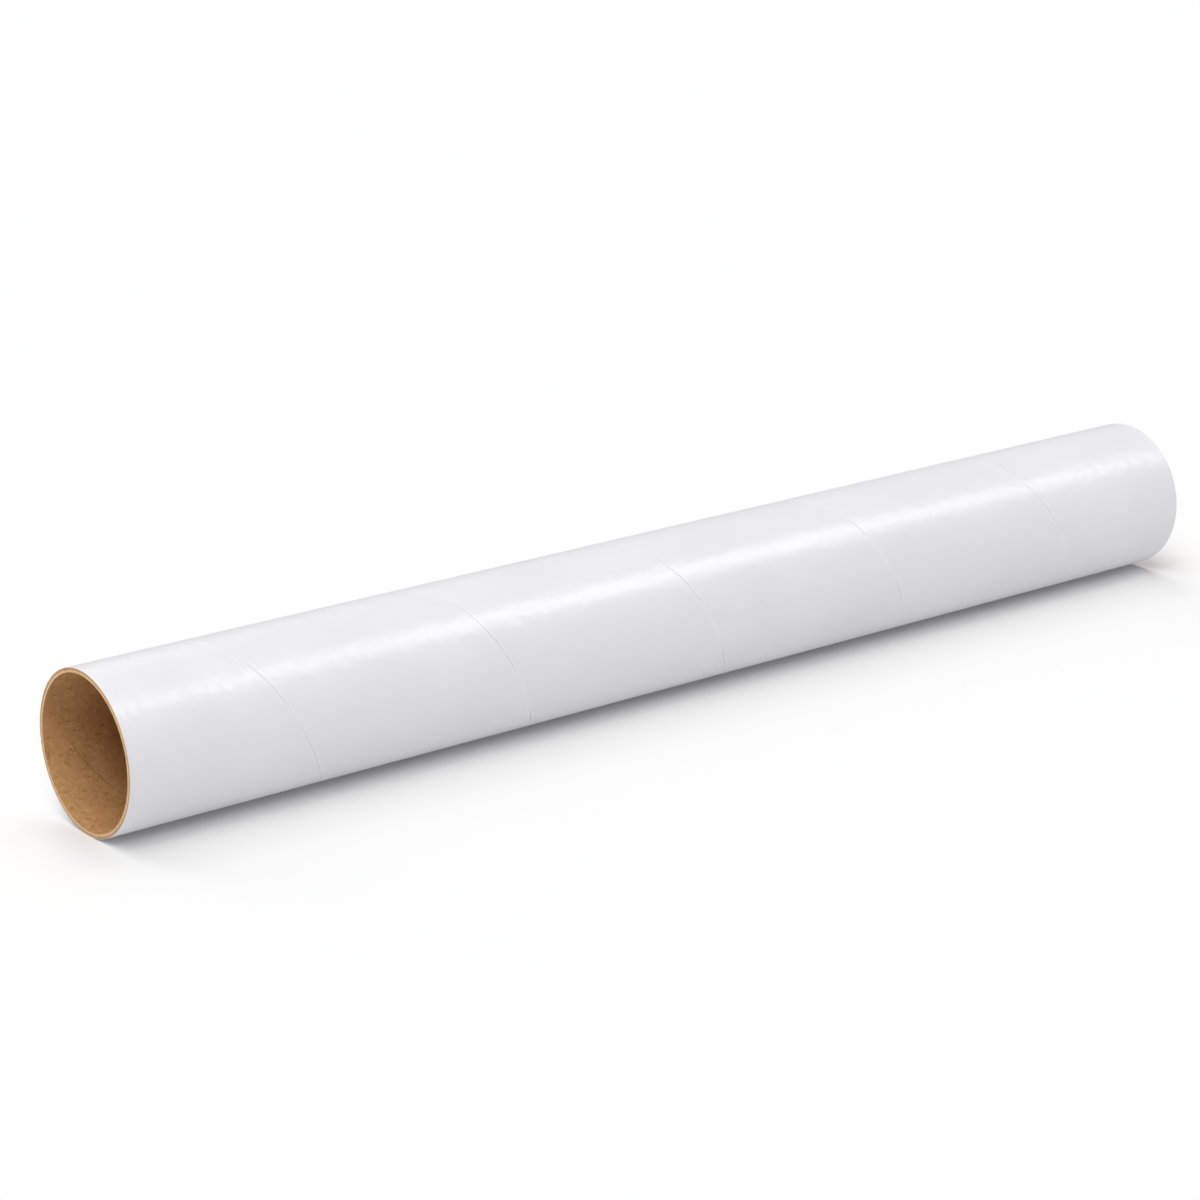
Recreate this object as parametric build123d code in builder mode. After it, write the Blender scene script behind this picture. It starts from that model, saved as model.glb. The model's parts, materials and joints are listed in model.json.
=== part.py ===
from build123d import *
import os
from math import ceil, hypot, pi

# A cardboard mailing tube: strips of paper wound in spirals and glued into one wall, cut square at both
# open ends. It stands on one end, with the origin in the middle of that end and +Z up the tube.

# Driving dimensions, in millimetres
tube_length = 457.2
bore_diameter = 50.8
wall_thickness = 1.524
wrap_thickness = 0.25
liner_thickness = 0.25

# A seam climbs one pitch in a turn, and first meets the seam side this far below the top end
seam_pitch = 83.4
seam_gap = 0.2
wrap_seam_drop = 21.3
liner_seam_drop = 6.4

# The seam side, in degrees from +X towards +Y
seam_side = 90

# Radii of the faces where the plies meet
bore_radius = bore_diameter / 2
core_inner_radius = bore_radius + liner_thickness
tube_radius = bore_radius + wall_thickness
core_outer_radius = tube_radius - wrap_thickness


def half_turn_of_gap(radius, reach, left_handed):
    """Half a turn of the gap between a strip's edges, with the gap measured square to the slanting seam."""
    girth = 2 * pi * radius
    gap_height = seam_gap * hypot(girth, seam_pitch) / girth
    with BuildPart() as gap:
        with BuildLine():
            seam = Helix(seam_pitch, seam_pitch / 2, radius, lefthand=left_handed)
        with BuildSketch(Plane.XZ):
            with Locations((radius, 0)):
                Rectangle(reach, gap_height)
        sweep(path=seam, is_frenet=True)
    return gap.part


def wound_ply(inner_radius, thickness, seam_drop, left_handed=False):
    """A strip wound along the whole tube: a sleeve, parted by a seam that starts below it and ends above."""
    half_turn = half_turn_of_gap(inner_radius + thickness / 2, 2 * thickness, left_handed)
    turns_to_top_seam = ceil(tube_length / seam_pitch)
    seam_start = tube_length - seam_drop - turns_to_top_seam * seam_pitch
    half_turns = [
        Location((0, 0, seam_start + step * seam_pitch / 2), (0, 0, seam_side + step * 180))
        for step in range(2 * turns_to_top_seam + 2)
    ]
    with BuildPart() as ply:
        with BuildSketch():
            Circle(inner_radius + thickness)
            Circle(inner_radius, mode=Mode.SUBTRACT)
        extrude(amount=tube_length)
        with Locations(*half_turns):
            add(half_turn, mode=Mode.SUBTRACT)
    return ply.part


# The kraft plies between the two faces, glued into one wall
with BuildPart() as kraft_core:
    with BuildSketch():
        Circle(core_outer_radius)
        Circle(core_inner_radius, mode=Mode.SUBTRACT)
    extrude(amount=tube_length)

# The faces: a white strip outside, and a kraft strip wound the other way inside
white_wrap = wound_ply(core_outer_radius, wrap_thickness, wrap_seam_drop)
kraft_liner = wound_ply(bore_radius, liner_thickness, liner_seam_drop, left_handed=True)

kraft_core.part.label = "kraft_core"
white_wrap.label = "white_wrap"
kraft_liner.label = "kraft_liner"

os.makedirs("parts", exist_ok=True)
export_step(kraft_core.part, "parts/kraft_core.step")
export_step(white_wrap, "parts/white_wrap.step")
export_step(kraft_liner, "parts/kraft_liner.step")
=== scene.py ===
import json
import math

import bmesh
import bpy
from mathutils import Matrix, Vector, noise


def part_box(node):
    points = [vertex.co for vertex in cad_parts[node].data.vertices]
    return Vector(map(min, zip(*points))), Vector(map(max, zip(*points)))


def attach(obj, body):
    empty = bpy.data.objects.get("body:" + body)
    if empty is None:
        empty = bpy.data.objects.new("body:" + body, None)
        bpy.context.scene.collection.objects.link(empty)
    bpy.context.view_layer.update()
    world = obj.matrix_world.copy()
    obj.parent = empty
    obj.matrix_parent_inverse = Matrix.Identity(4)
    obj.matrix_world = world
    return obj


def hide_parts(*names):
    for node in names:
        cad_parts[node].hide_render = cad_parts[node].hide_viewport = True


# A white mailing tube of spirally wound paper, stood on one end. The white strip outside, the kraft wall
# and the kraft strip inside are closed pieces of their own. All lengths are in metres.

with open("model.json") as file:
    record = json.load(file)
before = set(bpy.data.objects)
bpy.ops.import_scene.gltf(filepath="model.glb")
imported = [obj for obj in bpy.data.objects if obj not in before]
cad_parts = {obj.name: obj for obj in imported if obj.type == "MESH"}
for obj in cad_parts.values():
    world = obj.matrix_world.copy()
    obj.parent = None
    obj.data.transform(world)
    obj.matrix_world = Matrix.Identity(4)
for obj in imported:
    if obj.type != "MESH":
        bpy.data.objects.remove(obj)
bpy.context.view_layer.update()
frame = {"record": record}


# Sizes read from the frame

MILLIMETRES_IN_METRE = 1000


def outer_radius(node):
    """The outer radius of a round node."""
    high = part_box(node)[1]
    return max(high.x, high.y)


BORE = next(mount for mount in frame["record"]["mounts"] if mount["name"] == "bore")
TUBE_LENGTH = BORE["dims"]["length_mm"] / MILLIMETRES_IN_METRE
BORE_RADIUS = BORE["dims"]["r_mm"] / MILLIMETRES_IN_METRE
LINER_RADIUS = outer_radius("kraft_liner")
CORE_RADIUS = outer_radius("kraft_core")
TUBE_RADIUS = outer_radius("white_wrap")

# The seams: a strip climbs one pitch in a turn, and its lower edge first meets the seam side this far
# below the top end
SEAM_PITCH = 0.0834
SEAM_SIDE = math.radians(90)
WRAP_SEAM_DROP = 0.0213
LINER_SEAM_DROP = 0.0064

# The usual gap of each seam. It wavers along the seam, between a nearly closed and a wide open share.
WRAP_SEAM_GAP = 0.00008
LINER_SEAM_GAP = 0.00014
SEAM_WAVER = 2.2
SEAM_WAVER_LENGTH = 0.02
SEAM_CLOSED = 0.1
SEAM_OPEN = 1.5

# The line of the noise that each seam's waver follows
WRAP_WAVER_LINE = 0
LINER_WAVER_LINE = -1.5

# The strips' edges: their rounding, the band of face beside it that keeps its shading narrow, and the reach
# of the paler band along the white strip's edges, which is raw paper with a painted highlight where the
# edges catch the light
PAPER_EDGE_ROUND = 0.00009
EDGE_BAND = 0.0004
RAW_EDGE_AND_HIGHLIGHT_REACH = 0.0012

# The plies that show on the cut ends, and the unevenness of the cut
CORE_PLIES = 4
PLY_GROOVE = 0.00006
PLY_EDGE_ROUND = 0.00005
CUT_UNEVENNESS = 0.00004
CUT_UNEVENNESS_LENGTH = 0.0011

# How finely the meshes are divided, how exactly they are cut, and the angle that makes an edge a sharp one
STEPS_PER_TURN = 240
ROWS_ON_FACE = 12
EDGE_STEPS = 3
CUT_TOLERANCE = 1e-8
SHARP_ANGLE = math.radians(50)

# The ways that a strip can wind up the tube
RIGHT_HANDED = 1
LEFT_HANDED = -1

# The second material of each piece, worn by its cut ends
CUT_MATERIAL = 1

# The map that lays a strip out flat, in metres along and across it
PAPER_MAP = "paper"


# Meshes

def paper_edge(edge, rounding, face_radius, back_radius, rising):
    """The points of one rounded paper edge, as heights and radii.

    Rising is 1 at a strip's lower edge, and -1 at its upper edge."""
    out = math.copysign(1, face_radius - back_radius)
    points = []
    for step in range(EDGE_STEPS + 1):
        turn = math.pi / 2 * step / EDGE_STEPS
        height = rounding * (1 - math.cos(turn))
        drop = rounding * (1 - math.sin(turn))
        points.append((edge + rising * height, face_radius - out * drop))
    return points


def strip_section(seam_gap, opening, face_radius, back_radius):
    """The closed outline of a strip cut along the tube, as heights and radii.

    The opening has two shares, for how far the seam stands open at the lower and the upper edge."""
    low_edge = seam_gap / 2 * opening[0]
    high_edge = SEAM_PITCH - seam_gap / 2 * opening[1]
    lower = paper_edge(low_edge, PAPER_EDGE_ROUND * opening[0], face_radius, back_radius, 1)
    upper = paper_edge(high_edge, PAPER_EDGE_ROUND * opening[1], face_radius, back_radius, -1)
    first_row = low_edge + EDGE_BAND
    row_height = (high_edge - EDGE_BAND - first_row) / ROWS_ON_FACE
    face = [(first_row + row * row_height, face_radius) for row in range(ROWS_ON_FACE + 1)]
    return [(low_edge, back_radius)] + lower + face + upper[::-1] + [(high_edge, back_radius)]


def seam_opening(along, turn_length, waver_line):
    """How far a seam stands open at the strip's lower and upper edge: it opens and nearly closes.

    The upper edge meets the lower edge of the next turn, so it opens and closes with it."""
    shares = []
    for place in (along, along + turn_length):
        waver = noise.noise(Vector((place / SEAM_WAVER_LENGTH, waver_line, 0)))
        shares.append(min(SEAM_OPEN, max(SEAM_CLOSED, 1 + SEAM_WAVER * waver)))
    return shares


def cut_square(mesh, height, upward):
    """Cuts a closed mesh square across the tube, drops what lies beyond and closes the cut."""
    cut = bmesh.ops.bisect_plane(
        mesh,
        geom=mesh.verts[:] + mesh.edges[:] + mesh.faces[:],
        dist=CUT_TOLERANCE,
        plane_co=(0, 0, height),
        plane_no=(0, 0, upward),
        clear_outer=True,
    )
    rim = [item for item in cut["geom_cut"] if isinstance(item, bmesh.types.BMEdge)]
    closed = bmesh.ops.triangle_fill(mesh, use_beauty=True, edges=rim)
    for item in closed["geom"]:
        if isinstance(item, bmesh.types.BMFace):
            item.material_index = CUT_MATERIAL


def wound_strip(face_radius, back_radius, seam_drop, seam_gap, waver_line, hand):
    """A strip of paper wound edge to edge, from below the tube to above it, and cut square at both ends."""
    turns_below = math.ceil((TUBE_LENGTH - seam_drop) / SEAM_PITCH) + 1
    start = TUBE_LENGTH - seam_drop - turns_below * SEAM_PITCH
    steps = math.ceil((TUBE_LENGTH - start) / SEAM_PITCH * STEPS_PER_TURN) + 1
    turn_length = math.hypot(2 * math.pi * face_radius, SEAM_PITCH)
    slant = math.asin(SEAM_PITCH / turn_length)

    mesh = bmesh.new()
    flat_map = mesh.loops.layers.uv.new(PAPER_MAP)
    flat_place = {}
    sections = []
    for step in range(steps + 1):
        angle = SEAM_SIDE + hand * 2 * math.pi * step / STEPS_PER_TURN
        climb = start + SEAM_PITCH * step / STEPS_PER_TURN
        along = turn_length * step / STEPS_PER_TURN
        opening = seam_opening(along, turn_length, waver_line)
        section = []
        for height, radius in strip_section(seam_gap, opening, face_radius, back_radius):
            corner = mesh.verts.new(
                (radius * math.cos(angle), radius * math.sin(angle), climb + height)
            )
            flat_place[corner] = (along + height * math.sin(slant), height * math.cos(slant))
            section.append(corner)
        sections.append(section)

    for first, second in zip(sections, sections[1:]):
        for here in range(len(first)):
            after = (here + 1) % len(first)
            mesh.faces.new((first[here], second[here], second[after], first[after]))
    mesh.faces.new(sections[0])
    mesh.faces.new(sections[-1])
    for face in mesh.faces:
        for loop in face.loops:
            loop[flat_map].uv = flat_place[loop.vert]
    cut_square(mesh, TUBE_LENGTH, 1)
    cut_square(mesh, 0, -1)
    return mesh


def cut_end(inner_radius, wall):
    """The profile of a cut end from the inside out, as radii and depths, with a groove after each ply."""
    ply = wall / CORE_PLIES
    points = [(inner_radius, PLY_GROOVE)]
    for count in range(CORE_PLIES):
        inside = inner_radius + count * ply
        points.append((inside + PLY_EDGE_ROUND, 0))
        points.append((inside + ply - PLY_EDGE_ROUND, 0))
        points.append((inside + ply, PLY_GROOVE))
    return points


def board_wall():
    """The glued plies between the two strips, with the cut of each ply showing at both ends."""
    end = cut_end(LINER_RADIUS, CORE_RADIUS - LINER_RADIUS)
    mesh = bmesh.new()
    sections = []
    for step in range(STEPS_PER_TURN):
        angle = 2 * math.pi * step / STEPS_PER_TURN
        across = Vector((math.cos(angle), math.sin(angle), 0))
        top = []
        bottom = []
        for radius, groove in end:
            place = radius * across
            uneven = CUT_UNEVENNESS * (1 + noise.noise(place / CUT_UNEVENNESS_LENGTH)) / 2
            depth = groove + uneven
            top.append(mesh.verts.new(place + Vector((0, 0, TUBE_LENGTH - depth))))
            bottom.append(mesh.verts.new(place + Vector((0, 0, depth))))
        sections.append(top + bottom[::-1])
    for first, second in zip(sections, sections[1:] + sections[:1]):
        for here in range(len(first)):
            after = (here + 1) % len(first)
            face = mesh.faces.new((first[here], second[here], second[after], first[after]))
            runs_along_tube = abs(first[here].co.z - first[after].co.z) > TUBE_LENGTH / 2
            if not runs_along_tube:
                face.material_index = CUT_MATERIAL
    return mesh


def finish_piece(mesh, name, materials, node):
    """Turns a mesh into a shaded piece that stands for a node of the frame."""
    bmesh.ops.recalc_face_normals(mesh, faces=mesh.faces)
    for face in mesh.faces:
        face.smooth = True
    for edge in mesh.edges:
        edge.smooth = len(edge.link_faces) == 2 and edge.calc_face_angle() < SHARP_ANGLE
    data = bpy.data.meshes.new(name)
    mesh.to_mesh(data)
    mesh.free()
    for material in materials:
        data.materials.append(material)
    piece = bpy.data.objects.new(name, data)
    bpy.context.scene.collection.objects.link(piece)
    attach(piece, "root")
    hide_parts(node)


# Materials

# The mixing node's sockets for colours, taken by place because its other sockets bear the same names
MIX_SHARE = 0
MIX_FIRST_COLOUR = 6
MIX_SECOND_COLOUR = 7
MIXED_COLOUR = 2


def set_inputs(tree, node, inputs):
    """Sets each input of a node to a value, or links it from a socket."""
    for name, value in inputs.items():
        if isinstance(value, bpy.types.NodeSocket):
            tree.links.new(value, node.inputs[name])
        else:
            node.inputs[name].default_value = value


def add_node(tree, kind, inputs=None, **settings):
    """A new node with its settings and inputs."""
    made = tree.nodes.new(kind)
    for name, value in settings.items():
        setattr(made, name, value)
    set_inputs(tree, made, inputs or {})
    return made


def new_material(name):
    """A new material, with its node tree and its shader."""
    material = bpy.data.materials.new(name)
    material.use_nodes = True
    tree = material.node_tree
    return material, tree, tree.nodes["Principled BSDF"]


def strip_map(tree):
    """The place on the strip laid out flat, in metres along and across it."""
    return add_node(tree, "ShaderNodeUVMap", uv_map=PAPER_MAP).outputs["UV"]


def solid_map(tree):
    """The place in the tube, in metres."""
    return add_node(tree, "ShaderNodeTexCoord").outputs["Object"]


def grain(tree, place, spots_per_metre, detail):
    """Soft random spots, about 0 to 1."""
    inputs = {"Vector": place, "Scale": spots_per_metre, "Detail": detail}
    return add_node(tree, "ShaderNodeTexNoise", inputs).outputs["Fac"]


def spread(tree, value, low, high, to_low=0, to_high=1):
    """A value from low to high, moved to another range and held inside it."""
    moved = add_node(
        tree,
        "ShaderNodeMapRange",
        {"Value": value, "From Min": low, "From Max": high, "To Min": to_low, "To Max": to_high},
    )
    return moved.outputs["Result"]


def calculate(tree, operation, first, second=0):
    """One step of arithmetic on two values."""
    return add_node(tree, "ShaderNodeMath", {0: first, 1: second}, operation=operation).outputs["Value"]


def blend(tree, share, first, second):
    """Two colours mixed, all of the second where the share is one."""
    inputs = {MIX_SHARE: share, MIX_FIRST_COLOUR: first, MIX_SECOND_COLOUR: second}
    return add_node(tree, "ShaderNodeMix", inputs, data_type="RGBA").outputs[MIXED_COLOUR]


def relief(tree, height, depth, under=None):
    """A bump of this depth in metres, over another one."""
    inputs = {"Height": height, "Distance": depth}
    if under:
        inputs["Normal"] = under
    return add_node(tree, "ShaderNodeBump", inputs).outputs["Normal"]


def display(red, green, blue):
    """A colour as seen on a screen, 0 to 255, made linear for the shader by the standard screen curve."""
    def linear(value):
        share = value / 255
        return share / 12.92 if share <= 0.04045 else ((share + 0.055) / 1.055) ** 2.4
    return (linear(red), linear(green), linear(blue), 1)


# Most of a grain lies between these values
GRAIN_LOW = 0.3
GRAIN_HIGH = 0.7

# White paper
CLOUDS_PER_METRE = 30
TOOTH_PER_METRE = 1500
TOOTH_DEPTH = 0.000004
WAVES_PER_METRE = 250
WAVE_DEPTH = 0.0003
WHITE_DULL = display(229, 228, 231)
WHITE_BRIGHT = display(233, 232, 235)
WHITE_RAW_EDGE_AND_HIGHLIGHT = display(235, 234, 237)


def white_paper():
    """White paper under a thin gloss: faint clouds and a fine tooth below, slow waves in the gloss.

    It pales towards the strip's edges: raw paper, with a painted highlight where they catch the light."""
    material, tree, shader = new_material("white_coated_paper")
    place = strip_map(tree)
    clouds = grain(tree, place, CLOUDS_PER_METRE, detail=3)
    tooth = grain(tree, place, TOOTH_PER_METRE, detail=4)
    waves = grain(tree, place, WAVES_PER_METRE, detail=2)
    across = add_node(tree, "ShaderNodeSeparateXYZ", {"Vector": place}).outputs["Y"]
    strip_width = SEAM_PITCH * math.cos(math.atan2(SEAM_PITCH, 2 * math.pi * TUBE_RADIUS))
    to_edge = calculate(tree, "MINIMUM", across, calculate(tree, "SUBTRACT", strip_width, across))
    # Paler towards the strip's edges: raw paper, with a painted highlight where the edges catch the light
    raw_edge_and_highlight = spread(tree, to_edge, 0, RAW_EDGE_AND_HIGHLIGHT_REACH, 1, 0)
    clouded = blend(tree, spread(tree, clouds, GRAIN_LOW, GRAIN_HIGH), WHITE_DULL, WHITE_BRIGHT)
    toothed = relief(tree, tooth, TOOTH_DEPTH)
    looks = {
        "Base Color": blend(tree, raw_edge_and_highlight, clouded, WHITE_RAW_EDGE_AND_HIGHLIGHT),
        "Roughness": 0.6,
        "Specular IOR Level": 0.2,
        "Normal": toothed,
        "Coat Weight": 0.6,
        "Coat IOR": 1.55,
        "Coat Roughness": 0.29,
        "Coat Normal": relief(tree, waves, WAVE_DEPTH, toothed),
    }
    set_inputs(tree, shader, looks)
    return material


# Strokes: how many times one bends, and how far from its middle it starts to fade, as a share of its length
STROKE_BENDS = 1.5
STROKE_FADE = 0.2


def strokes(tree, place, per_metre, length, width):
    """Short crooked strokes, one in each cell of the paper.

    Each is turned its own way and has its own strength."""
    drift = add_node(
        tree,
        "ShaderNodeTexNoise",
        {"Vector": place, "Scale": STROKE_BENDS / length, "Detail": 3},
    )
    crooked = add_node(
        tree,
        "ShaderNodeVectorMath",
        {0: drift.outputs["Color"], 1: (length, length, 0), 2: place},
        operation="MULTIPLY_ADD",
    ).outputs["Vector"]
    cells = add_node(
        tree,
        "ShaderNodeTexVoronoi",
        {"Vector": crooked, "Scale": per_metre},
        voronoi_dimensions="2D",
    )
    chance = add_node(tree, "ShaderNodeSeparateColor", {"Color": cells.outputs["Color"]})
    offset = add_node(
        tree,
        "ShaderNodeVectorMath",
        {0: crooked, 1: cells.outputs["Position"]},
        operation="SUBTRACT",
    )
    turned = add_node(
        tree,
        "ShaderNodeVectorRotate",
        {
            "Vector": offset.outputs["Vector"],
            "Angle": calculate(tree, "MULTIPLY", chance.outputs["Red"], 2 * math.pi),
        },
        rotation_type="Z_AXIS",
    )
    parts = add_node(tree, "ShaderNodeSeparateXYZ", {"Vector": turned.outputs["Vector"]})
    off_line = calculate(tree, "ABSOLUTE", parts.outputs["Y"])
    off_middle = calculate(tree, "ABSOLUTE", parts.outputs["X"])
    line = spread(tree, off_line, 0, width / 2, 1, 0)
    ends = spread(tree, off_middle, STROKE_FADE * length, length / 2, 1, 0)
    stroke = calculate(tree, "MULTIPLY", line, ends)
    return calculate(tree, "MULTIPLY", stroke, chance.outputs["Blue"])


# The mottle of kraft board: it sets in at one value of its grain and is full at another
MOTTLE_PER_METRE = 600
MOTTLE_LOW = 0.4
MOTTLE_HIGH = 0.75

# Kraft paper
BLOTCHES_PER_METRE = 110
KRAFT_DARK = display(190, 144, 93)
KRAFT_LIGHT = display(208, 162, 110)
KRAFT_MOTTLE = display(168, 123, 75)
KRAFT_MOTTLE_SHARE = 0.5
KRAFT_MOTTLE_DEPTH = 0.00008
KRAFT_SMOOTHEST = 0.55
KRAFT_ROUGHEST = 0.75
FOLDS_PER_METRE = 340
FOLD_LENGTH = 0.003
FOLD_WIDTH = 0.0006
FOLD_PAINTED_SHADE = display(128, 89, 50)
FOLD_PAINTED_SHADE_SHARE = 0.7
FOLD_DEPTH = 0.00018
FIBRES_PER_METRE = 480
FIBRE_LENGTH = 0.002
FIBRE_WIDTH = 0.0003
FIBRE_SHADE = display(230, 190, 140)
FIBRE_SHARE = 0.95


def kraft_paper():
    """Brown kraft paper: faint blotches, fine mottle, short folds darkened with painted shade, and pale
    fibres.
    """
    material, tree, shader = new_material("kraft_paper")
    place = strip_map(tree)
    blotches = grain(tree, solid_map(tree), BLOTCHES_PER_METRE, detail=6)
    mottle = grain(tree, place, MOTTLE_PER_METRE, detail=5)
    mottle_share = spread(tree, mottle, MOTTLE_LOW, MOTTLE_HIGH, 0, KRAFT_MOTTLE_SHARE)
    folds = strokes(tree, place, FOLDS_PER_METRE, FOLD_LENGTH, FOLD_WIDTH)
    # The folds are darkened in colour: painted shade in their creases
    fold_painted_shade_share = calculate(tree, "MULTIPLY", folds, FOLD_PAINTED_SHADE_SHARE)
    fibres = strokes(tree, place, FIBRES_PER_METRE, FIBRE_LENGTH, FIBRE_WIDTH)
    fibre_share = calculate(tree, "MULTIPLY", fibres, FIBRE_SHARE)
    base = blend(tree, spread(tree, blotches, GRAIN_LOW, GRAIN_HIGH), KRAFT_DARK, KRAFT_LIGHT)
    mottled = blend(tree, mottle_share, base, KRAFT_MOTTLE)
    with_painted_fold_shade = blend(tree, fold_painted_shade_share, mottled, FOLD_PAINTED_SHADE)
    mottle_relief = relief(tree, mottle, KRAFT_MOTTLE_DEPTH)
    looks = {
        "Base Color": blend(tree, fibre_share, with_painted_fold_shade, FIBRE_SHADE),
        "Roughness": spread(tree, mottle, GRAIN_LOW, GRAIN_HIGH, KRAFT_SMOOTHEST, KRAFT_ROUGHEST),
        "Specular IOR Level": 0.35,
        "Normal": relief(tree, folds, FOLD_DEPTH, mottle_relief),
    }
    set_inputs(tree, shader, looks)
    return material


def share_of_wall(tree, place):
    """How far out a place lies in the tube's wall: 0 on the bore and 1 on the outside."""
    flat = add_node(tree, "ShaderNodeVectorMath", {0: place, 1: (1, 1, 0)}, operation="MULTIPLY")
    length = add_node(tree, "ShaderNodeVectorMath", {0: flat.outputs["Vector"]}, operation="LENGTH")
    return spread(tree, length.outputs["Value"], BORE_RADIUS, TUBE_RADIUS)


# Board under the strips: painted shade up to one share of the wall, for the bottom of the liner's seam,
# and plain kraft from another
PAINTED_SHADE_ENDS = 0.4
PLAIN_STARTS = 0.6
SEAM_PAINTED_SHADE = display(104, 70, 38)
PLAIN_SHADE = display(206, 164, 126)
BOARD_FACE_MOTTLE = display(120, 84, 52)
BOARD_FACE_MOTTLE_SHARE = 0.3
BOARD_FACE_MOTTLE_DEPTH = 0.00005


def board_under_strips():
    """The faces of the wall under the strips, which show in their seams.

    They are darkened on the bore's side: painted shade for the bottom of the liner's seam."""
    material, tree, shader = new_material("kraft_board_with_painted_seam_shade")
    place = solid_map(tree)
    plain_share = spread(tree, share_of_wall(tree, place), PAINTED_SHADE_ENDS, PLAIN_STARTS)
    mottle = grain(tree, place, MOTTLE_PER_METRE, detail=5)
    mottle_share = spread(tree, mottle, MOTTLE_LOW, MOTTLE_HIGH, 0, BOARD_FACE_MOTTLE_SHARE)
    # Darker on the bore's side: painted shade at the bottom of the liner's seam
    base = blend(tree, plain_share, SEAM_PAINTED_SHADE, PLAIN_SHADE)
    looks = {
        "Base Color": blend(tree, mottle_share, base, BOARD_FACE_MOTTLE),
        "Roughness": 0.8,
        "Specular IOR Level": 0.2,
        "Normal": relief(tree, mottle, BOARD_FACE_MOTTLE_DEPTH),
    }
    set_inputs(tree, shader, looks)
    return material


# Cut board: pale up to one share of the wall, tan from another, and white in the outermost skin
PALE_ENDS = 0.4
TAN_STARTS = 0.55
SKIN_STARTS = 0.92
SKIN_FULL = 0.94
PALE_SHADE = display(246, 208, 163)
TAN_SHADE = display(210, 165, 124)
SKIN_SHADE = display(231, 230, 233)
FUZZ_PER_METRE = 1800
FUZZ_REACH = 0.08
FUZZ_DEPTH = 0.00008
SPECKS_PER_METRE = 700
SPECK_LOW = 0.45
SPECK_HIGH = 0.75
SPECK_SHADE = display(178, 132, 90)
SPECK_SHARE = 0.4
CUT_SMOOTHEST = 0.75
CUT_ROUGHEST = 0.95


def cut_board():
    """The cut ends: pale towards the bore, tan further out and a thin white skin, with a fibrous cut."""
    material, tree, shader = new_material("cut_kraft_board")
    place = solid_map(tree)
    outward = share_of_wall(tree, place)
    fuzz = grain(tree, place, FUZZ_PER_METRE, detail=4)
    specks = grain(tree, place, SPECKS_PER_METRE, detail=2)
    speck_share = spread(tree, specks, SPECK_LOW, SPECK_HIGH, 0, SPECK_SHARE)
    shift = spread(tree, fuzz, GRAIN_LOW, GRAIN_HIGH, -FUZZ_REACH, FUZZ_REACH)
    ragged = calculate(tree, "ADD", outward, shift)
    plies = blend(tree, spread(tree, ragged, PALE_ENDS, TAN_STARTS), PALE_SHADE, TAN_SHADE)
    specked = blend(tree, speck_share, plies, SPECK_SHADE)
    looks = {
        "Base Color": blend(tree, spread(tree, outward, SKIN_STARTS, SKIN_FULL), specked, SKIN_SHADE),
        "Roughness": spread(tree, fuzz, GRAIN_LOW, GRAIN_HIGH, CUT_SMOOTHEST, CUT_ROUGHEST),
        "Specular IOR Level": 0.2,
        "Normal": relief(tree, fuzz, FUZZ_DEPTH),
    }
    set_inputs(tree, shader, looks)
    return material


# The tube

CUT_BOARD = cut_board()
finish_piece(
    wound_strip(TUBE_RADIUS, CORE_RADIUS, WRAP_SEAM_DROP, WRAP_SEAM_GAP, WRAP_WAVER_LINE, RIGHT_HANDED),
    "wound_white_strip",
    [white_paper(), CUT_BOARD],
    "white_wrap",
)
finish_piece(
    board_wall(),
    "laminated_kraft_wall",
    [board_under_strips(), CUT_BOARD],
    "kraft_core",
)
finish_piece(
    wound_strip(BORE_RADIUS, LINER_RADIUS, LINER_SEAM_DROP, LINER_SEAM_GAP, LINER_WAVER_LINE, LEFT_HANDED),
    "wound_kraft_strip",
    [kraft_paper(), CUT_BOARD],
    "kraft_liner",
)


# The studio: the tube's side rests against a white floor, which faces +X

FLOOR_SIZE = 12
FLOOR_GREY = 0.89

# The brightness of the surroundings as light, in the gloss and to the camera
AMBIENT = 0.11
GLOSS_BACKDROP = 0.3
WHITE_BACKDROP = 1

# The lights: the way each comes from, its strength and how wide it looks
SIDE_FROM = Vector((0.8, -0.45, 0.38))
SIDE_STRENGTH = 1
END_FROM = Vector((0.85, -0.2, 0.48))
END_STRENGTH = 0.35
NEAR_SPREAD = math.radians(33)
ABOVE_FROM = Vector((0.9, 0.1, 0))
ABOVE_STRENGTH = 1.24
FRONT_FROM = Vector((0.45, -0.9, 0))
FRONT_STRENGTH = 0.53
BACK_FROM = Vector((0.6, 0.8, 0))
BACK_STRENGTH = 1.01
WIDE_SPREAD = math.radians(60)
UNDER_FROM = Vector((-1, 0, 0))
UNDER_STRENGTH = 0.36
UNDER_SPREAD = math.radians(140)
GLINT_FROM = Vector((0.753, -0.289, -0.59))
GLINT_STRENGTH = 0.77
GLINT_SPREAD = math.radians(20)


def floor_material():
    """White paper sweep, which lets a view from behind it pass."""
    material, tree, shader = new_material("white_sweep")
    white = (FLOOR_GREY, FLOOR_GREY, FLOOR_GREY, 1)
    set_inputs(tree, shader, {"Base Color": white, "Roughness": 1, "Specular IOR Level": 0})
    behind = add_node(tree, "ShaderNodeNewGeometry").outputs["Backfacing"]
    clear = add_node(tree, "ShaderNodeBsdfTransparent").outputs["BSDF"]
    mixed = add_node(tree, "ShaderNodeMixShader", {0: behind, 1: shader.outputs["BSDF"], 2: clear})
    set_inputs(tree, tree.nodes["Material Output"], {"Surface": mixed.outputs["Shader"]})
    return material


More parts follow.
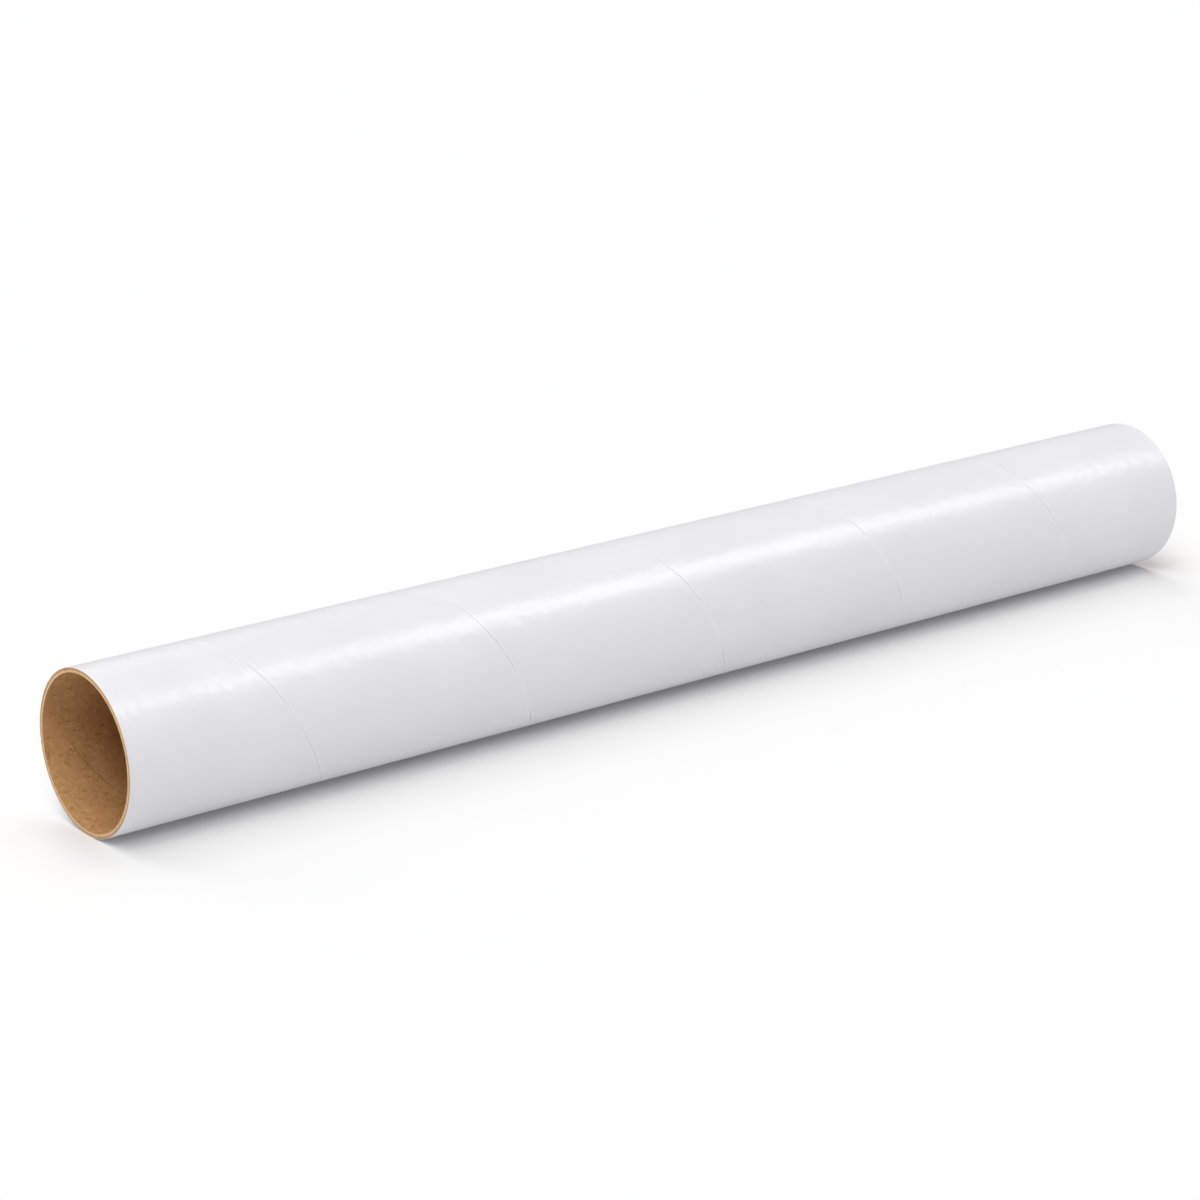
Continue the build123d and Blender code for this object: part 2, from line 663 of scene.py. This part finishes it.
def white_floor():
    """A wide sheet that the tube's side touches. The gloss doesn't mirror it.

    It throws no shadow, so a light from behind it reaches the tube."""
    half = FLOOR_SIZE / 2
    corners = [(-half, -half), (half, -half), (half, half), (-half, half)]
    data = bpy.data.meshes.new("floor")
    data.from_pydata(
        [(-TUBE_RADIUS, across, along) for across, along in corners],
        [],
        [(0, 1, 2, 3)],
    )
    data.materials.append(floor_material())
    floor = bpy.data.objects.new("floor", data)
    floor.visible_glossy = False
    floor.visible_shadow = False
    bpy.context.scene.collection.objects.link(floor)


def soft_light(name, towards, strength, spread_angle):
    """A wide, distant light, as even over the floor as over the tube."""
    light = bpy.data.lights.new(name, "SUN")
    light.energy = strength
    light.angle = spread_angle
    lamp = bpy.data.objects.new(name, light)
    lamp.location = towards
    lamp.rotation_mode = "QUATERNION"
    lamp.rotation_quaternion = (-towards).to_track_quat("-Z", "Y")
    bpy.context.scene.collection.objects.link(lamp)
    return lamp


def studio_world():
    """Even light from all round, which looks white to the camera and pale in the gloss."""
    world = bpy.data.worlds.new("studio")
    world.use_nodes = True
    tree = world.node_tree
    ray = add_node(tree, "ShaderNodeLightPath").outputs
    lit = spread(tree, ray["Is Glossy Ray"], 0, 1, AMBIENT, GLOSS_BACKDROP)
    seen = spread(tree, ray["Is Camera Ray"], 0, 1, lit, WHITE_BACKDROP)
    set_inputs(tree, tree.nodes["Background"], {"Color": (1, 1, 1, 1), "Strength": seen})
    bpy.context.scene.world = world


# The camera, placed and aimed from the middle of the top end. Its picture's upright is the floor's normal.

CAMERA_PLACE = Vector((0.3753, -0.8828, 0.4986))
CAMERA_AIM = Vector((0.0074, 0.0031, -0.2036))
CAMERA_LENS = 104.9
CAMERA_SENSOR = 36
UPRIGHT = Vector((1, 0, 0))


def photo_camera():
    """The camera at the photograph's viewing angle."""
    data = bpy.data.cameras.new("camera")
    data.lens = CAMERA_LENS
    data.sensor_width = CAMERA_SENSOR
    camera = bpy.data.objects.new("camera", data)
    forward = (CAMERA_AIM - CAMERA_PLACE).normalized()
    right = forward.cross(UPRIGHT).normalized()
    turn = Matrix((right, right.cross(forward), -forward)).transposed().to_4x4()
    top_end = Vector((0, 0, TUBE_LENGTH))
    camera.matrix_world = Matrix.Translation(top_end + CAMERA_PLACE) @ turn
    bpy.context.scene.collection.objects.link(camera)
    bpy.context.scene.camera = camera


white_floor()
soft_light("side", SIDE_FROM, SIDE_STRENGTH, NEAR_SPREAD)
soft_light("end", END_FROM, END_STRENGTH, NEAR_SPREAD)
soft_light("above", ABOVE_FROM, ABOVE_STRENGTH, WIDE_SPREAD)
soft_light("front", FRONT_FROM, FRONT_STRENGTH, WIDE_SPREAD)
soft_light("back", BACK_FROM, BACK_STRENGTH, WIDE_SPREAD)
soft_light("under", UNDER_FROM, UNDER_STRENGTH, UNDER_SPREAD)

# The glint shows in the gloss alone
glint = soft_light("glint", GLINT_FROM, GLINT_STRENGTH, GLINT_SPREAD)
glint.visible_diffuse = False

studio_world()
photo_camera()
bpy.context.scene.view_settings.view_transform = "Standard"
